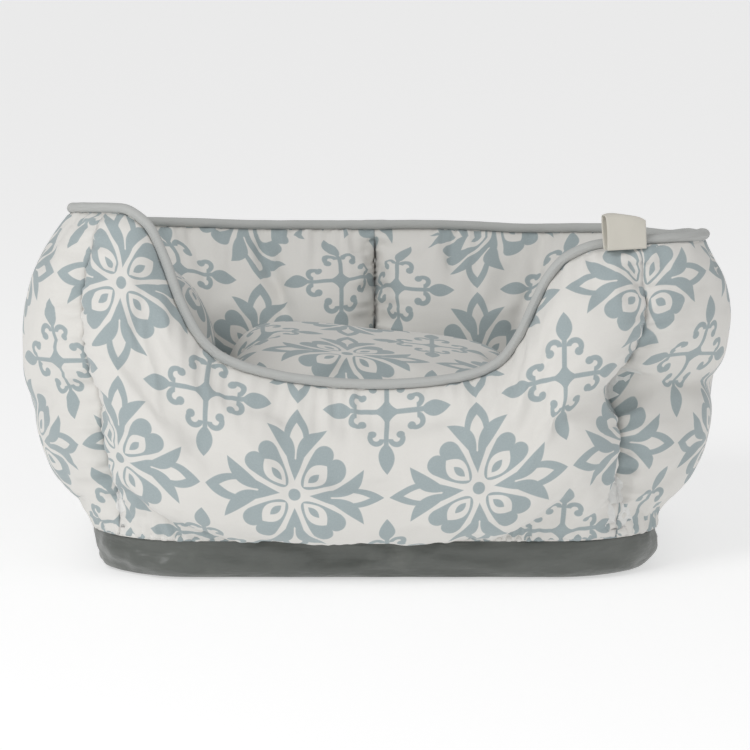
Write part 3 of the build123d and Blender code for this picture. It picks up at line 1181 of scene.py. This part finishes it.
cushion = {
    "halfWidth": 0.1150,
    "halfDepth": 0.0975,
    "low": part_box("cushion_bottom_panel")[0].z,
    "seam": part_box("cushion_top_panel")[0].z,
    "high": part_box("cushion_top_panel")[1].z + 0.006,
    "tilt": (-0.060, 0.035),  # slope across and towards the back
    "columns": 120,
    "topRings": 26,
    "bottomRings": 20,
    "squareness": 5.0,
    "pullIn": 0.004,
    "flatShare": 0.35,
    "thickness": 0.0008,
    "fillInset": 0.0035,
    "zipGap": (0.0008, 0.0004),
    "zipHem": 0.0022,
    "flatDepth": 0.004,
    "printPhase": (0.02, 0.05),
}
cushionSwelling = {"quality": 4, "bending": 0.4, "slack": 0.05, "pressure": 3.0, "frames": 14, "cap": 0.006}


def cushionOutline(i):
    # rounded rectangle, its sides drawn in a little between the corners
    angle = 2 * pi * (i % cushion["columns"]) / cushion["columns"] - pi
    c, s = cos(angle), sin(angle)
    power = cushion["squareness"]
    reach = (abs(c / cushion["halfWidth"]) ** power + abs(s / cushion["halfDepth"]) ** power) ** (-1 / power)
    drawn = cushion["pullIn"] * (abs(cos(2 * angle)) ** 3)
    return Vector((c, s, 0)) * (reach - drawn)


def cushionPlace(i, j):
    rim = cushionOutline(i)
    top = cushion["topRings"]
    if j <= top:
        share = sin(pi / 2 * (0.05 + 0.95 * j / top))
        height = (cushion["high"] - cushion["seam"]) * (1 - share ** 7.0) ** 0.5
        height *= 1 + (rim.x * cushion["tilt"][0] + rim.y * cushion["tilt"][1]) * share * 30
    else:
        share = sin(pi / 2 * (1 - 0.95 * (j - top) / cushion["bottomRings"]))
        height = -(cushion["seam"] - cushion["low"]) * (1 - share ** 5) ** 0.5
    return Vector((rim.x * share, rim.y * share, cushion["seam"] + height))


def makeCushion():
    rows = cushion["topRings"] + cushion["bottomRings"]
    reach = []
    for i in range(cushion["columns"] + 1):
        line = [cushionPlace(i, 0).xy.length]
        for j in range(rows):
            line.append(line[-1] + (cushionPlace(i, j + 1) - cushionPlace(i, j)).length)
        reach.append(line + [line[-1] + cushionPlace(i, rows).xy.length])

    def flat(i, j, middleI, middleJ):
        away = cushionOutline(i).normalized()
        length = reach[i][j] if middleJ < cushion["topRings"] else reach[i][-1] - reach[i][j]
        return away.x * length + cushion["printPhase"][0], away.y * length + cushion["printPhase"][1]

    bm, index = bentGrid(cushion["columns"], rows, cushionPlace, flat)
    upper = bm.faces.layers.int.new("upper")
    held = bm.verts.layers.float.new("held")
    for face in bm.faces:
        face[upper] = 1 if sum(index[v.index][1] for v in face.verts) / 4 < cushion["topRings"] else 0
    for v in bm.verts:
        j = index[v.index][1]
        flatBottom = j > cushion["topRings"] + cushion["flatShare"] * cushion["bottomRings"]
        v[held] = 1.0 if j == cushion["topRings"] or flatBottom else 0.0
    weld(bm)
    for face in capHole(bm, shift=cushion["printPhase"]):
        face[upper] = 1 if face.calc_center_median().z > cushion["seam"] else 0
    bm.verts.ensure_lookup_table()
    for v, place in zip(bm.verts, simulated(bm, lambda v: v[held], cushionSwelling)):
        v.co = place
    covers = (("cushion_top_panel", 1, "printed_cloth", printedCloth),
              ("cushion_bottom_panel", 0, "floor_cloth", floorCloth))
    for name, keep, slot, material in covers:
        part = bm.copy()
        layer = part.faces.layers.int["upper"]
        bmesh.ops.delete(part, geom=[f for f in part.faces if f[layer] != keep], context="FACES")
        if not keep:
            openZip(part)
        piece = newPiece(name + "_cloth", part, "cushion", slot, material, [name])
        if keep:
            smoother(piece)
        thickened(piece, cushion["thickness"])
    bm.normal_update()
    inset = {v: v.co - v.normal * cushion["fillInset"] for v in bm.verts}
    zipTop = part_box("zip_slider")[1].z + 0.002
    for v, place in inset.items():
        v.co = place
        v.co.z = max(v.co.z, zipTop)
    wadding = newPiece("cushion_fill_wadding", bm, "cushion", "fibre_filling", filling, ["cushion_fill"])


def openZip(bm):
    # cuts the slot that the zip shows through and folds its edges in
    low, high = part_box("zip_tape_front")[0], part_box("zip_tape_rear")[1]
    gapX, gapY = cushion["zipGap"]
    lowX, highX, lowY, highY = low.x - gapX, high.x + gapX, low.y - gapY, high.y + gapY
    bottomTop = cushion["low"] + cushion["flatDepth"]
    edges = [((lowX, 0, 0), (1, 0, 0)), ((highX, 0, 0), (1, 0, 0)),
             ((0, lowY, 0), (0, 1, 0)), ((0, highY, 0), (0, 1, 0))]
    for place, normal in edges:
        bottom = [f for f in bm.faces if f.calc_center_median().z < bottomTop]
        parts = set(bottom) | {e for f in bottom for e in f.edges} | {v for f in bottom for v in f.verts}
        bmesh.ops.bisect_plane(bm, geom=list(parts), plane_co=place, plane_no=normal, dist=1e-6)
    inside = []
    for f in bm.faces:
        c = f.calc_center_median()
        if c.z < bottomTop and lowX < c.x < highX and lowY < c.y < highY:
            inside.append(f)
    bmesh.ops.delete(bm, geom=inside, context="FACES")
    rim = [e for e in bm.edges if e.is_boundary and e.verts[0].co.z < bottomTop]
    made = bmesh.ops.extrude_edge_only(bm, edges=rim)
    lifted = [v for v in made["geom"] if isinstance(v, bmesh.types.BMVert)]
    bmesh.ops.translate(bm, verts=lifted, vec=(0, 0, cushion["zipHem"]))


makeCushion()
print("cushion made")

# Label: a folded ribbon standing on the outer side of the rim

label = {
    "run": 0.163,
    "width": 0.031,
    "rise": 0.0235,
    "bow": 0.0042,
    "offset": 0.0050,
    "footGap": 0.0045,
    "sink": 0.001,
    "sag": 0.0020,
    "thickness": 0.0006,
    "clothLength": 0.05,
    "columns": 16,
    "rows": 40,
    "lean": -0.12,
    "yaw": -0.08,
    "tilt": -0.10,
}


def makeLabel():
    out = seamPoint(label["run"])[1]
    along = Vector((-out.y, out.x, 0))
    turn = Matrix.Rotation(label["yaw"], 3, "Z")
    along, out = turn @ along, turn @ out
    start = rimPoint(label["run"]) + out * label["offset"] + Vector((0, 0, -label["sink"]))

    def place(i, j):
        w = (i / label["columns"] - 0.5) * label["width"]
        t = 2 * j / label["rows"] - 1  # -1 at the inner foot, 1 at the outer foot
        up = label["rise"] * (1 - abs(t) ** 3.0)
        flare = 1 - 0.9 * w / label["width"]
        bow = label["bow"] * flare * (1 if t > 0 else -1) * abs(t) ** 0.55 * (1 - 0.55 * abs(t) ** 4)
        sag = label["sag"] * sin(5 * w / label["width"] + 1.5 * t) * (1 - abs(t))
        up *= 1 + label["tilt"] * w / label["width"] * 2 - 0.10 * (2 * w / label["width"]) ** 4
        outwards = bow + label["footGap"] + label["lean"] * up + sag
        return start + along * w + out * outwards + Vector((0, 0, up))

    def flat(i, j, middleI, middleJ):
        return label["width"] * i / label["columns"], label["clothLength"] * j / label["rows"]

    bm = bentGrid(label["columns"], label["rows"], place, flat)[0]
    piece = newPiece("woven_label", bm, "bed", "label_ribbon", ribbonCloth, ["label"])
    smoother(piece)
    thickened(piece, label["thickness"], 0)


makeLabel()
print("label made")

# Threads: stitches down the inner back seam and crossed tacks at the outer corners

threads = {
    "radius": 0.0005,
    "stitch": 0.0042,
    "stitches": 14,
    "tack": 0.0085,
    "proud": 0.0004,  # how far the threads stand off the cloth
    "tackProud": 0.0006,
}


def addStitch(bm, place, along, length):
    made = bmesh.ops.create_uvsphere(bm, u_segments=8, v_segments=6, radius=threads["radius"])
    turn = along.to_track_quat("Z", "Y").to_matrix().to_4x4()
    stretch = Matrix.Diagonal((1, 1, length / (2 * threads["radius"]), 1))
    bmesh.ops.transform(bm, matrix=Matrix.Translation(place) @ turn @ stretch, verts=made["verts"])


def nearestPoint(bm, s, side, t):
    # the finished wall's point at arc length s and share t of the height, and its normal
    run, rise, sideLayer = vertexLayers(bm, "run", "rise", "side")
    spots = [v for v in bm.verts if v[sideLayer] * side > 0]
    best = min(spots, key=lambda v: alongTo(v[run], s) + abs(v[rise] - t) * 0.2)
    return best.co.copy(), best.normal.copy()


def makeThreads():
    wallRing.normal_update()
    bm = bmesh.new()
    count = threads["stitches"]
    places = [nearestPoint(wallRing, halfLoop, -1, 0.1 + 0.8 * k / count) for k in range(count + 1)]
    for (a, normal), (b, _) in zip(places, places[1:]):
        addStitch(bm, (a + b) / 2 + normal * threads["proud"], b - a, threads["stitch"])
    newPiece("back_seam_thread", bm, "bed", "thread", sewingThread, ["back_seam_stitches"])
    bm = bmesh.new()
    for seam, share, *_ in tacks:
        place, normal = nearestPoint(wallRing, seam, 1, share)
        sideways = Vector((0, 0, 1)).cross(normal).normalized()
        upwards = normal.cross(sideways)
        for way in (sideways + upwards, sideways - upwards):
            addStitch(bm, place + normal * threads["tackProud"], way, threads["tack"])
    newPiece("corner_tack_thread", bm, "bed", "thread", sewingThread, ["corner_tacks"])
    wallRing.free()


makeThreads()
print("threads made")

# The zip's own CAD pieces only need their finishes

zipFinishes = {
    "zip_tape_front": tapeCloth,
    "zip_tape_rear": tapeCloth,
    "zip_teeth": zipNylon,
    "zip_stops": zipMetal,
    "zip_slider": zipMetal,
}
for node, material in zipFinishes.items():
    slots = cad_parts[node].material_slots
    if not slots:
        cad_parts[node].data.materials.append(material)
    for materialSlot in slots:
        materialSlot.material = material
print("zip finished")

# Floor, light and camera

stageSettings = {
    "floorColour": (0.56, 0.56, 0.56),
    "floorGlow": 0.62,  # keeps the far floor as pale as the near one
    "elevation": 8.0,
    "distance": 3.2,
    "frameWidth": 0.545,  # width in view at the bed's middle
    "aim": (0.0, 0.0, 0.122),
    "floorDrop": 0.0004,
    "worldLight": 0.54,
    "lightAim": (0, 0, 0.12),
    "lights": {  # place, size and power
        "softbox": ((-1.3, -1.9, 1.7), 1.3, 33),
        "fill": ((1.8, -1.4, 1.2), 1.8, 5),
    },
    "exposure": -0.20,
}


def makeFloor():
    bm = bmesh.new()
    bmesh.ops.create_grid(bm, x_segments=1, y_segments=1, size=40)
    bmesh.ops.translate(bm, verts=bm.verts, vec=(0, 0, -stageSettings["floorDrop"]))
    mesh = bpy.data.meshes.new("floor")
    bm.to_mesh(mesh)
    bm.free()
    mesh.shade_smooth()
    floor = newObject("floor", mesh)
    material, _, shader = newMaterial("paleFloor")
    setSockets(shader, {"Base Color": (*stageSettings["floorColour"], 1), "Roughness": 0.9})
    setSockets(shader, {"Emission Color": (1, 1, 1, 1), "Emission Strength": stageSettings["floorGlow"]})
    mesh.materials.append(material)


def addLight(name, place, size, power):
    data = bpy.data.lights.new(name, "AREA")
    data.shape, data.size, data.energy = "DISK", size, power
    light = newObject(name, data)
    light.location = place
    aim = Vector(stageSettings["lightAim"]) - Vector(place)
    light.rotation_euler = aim.to_track_quat("-Z", "Y").to_euler()


def makeStage():
    makeFloor()
    world = bpy.data.worlds.new("studio")
    bpy.context.scene.world = world
    world.use_nodes = True
    background = world.node_tree.nodes["Background"]
    setSockets(background, {"Color": (1, 1, 1, 1), "Strength": stageSettings["worldLight"]})
    for name, values in stageSettings["lights"].items():
        addLight(name, *values)
    camera = bpy.data.cameras.new("camera")
    aim = Vector(stageSettings["aim"])
    lift = radians(stageSettings["elevation"])
    holder = newObject("camera", camera)
    holder.location = aim + Vector((0, -cos(lift), sin(lift))) * stageSettings["distance"]
    holder.rotation_euler = (aim - holder.location).to_track_quat("-Z", "Y").to_euler()
    camera.lens = camera.sensor_width * stageSettings["distance"] / stageSettings["frameWidth"]
    scene = bpy.context.scene
    scene.camera = holder
    scene.view_settings.view_transform = "Standard"
    scene.view_settings.exposure = stageSettings["exposure"]


makeStage()
print("stage made")
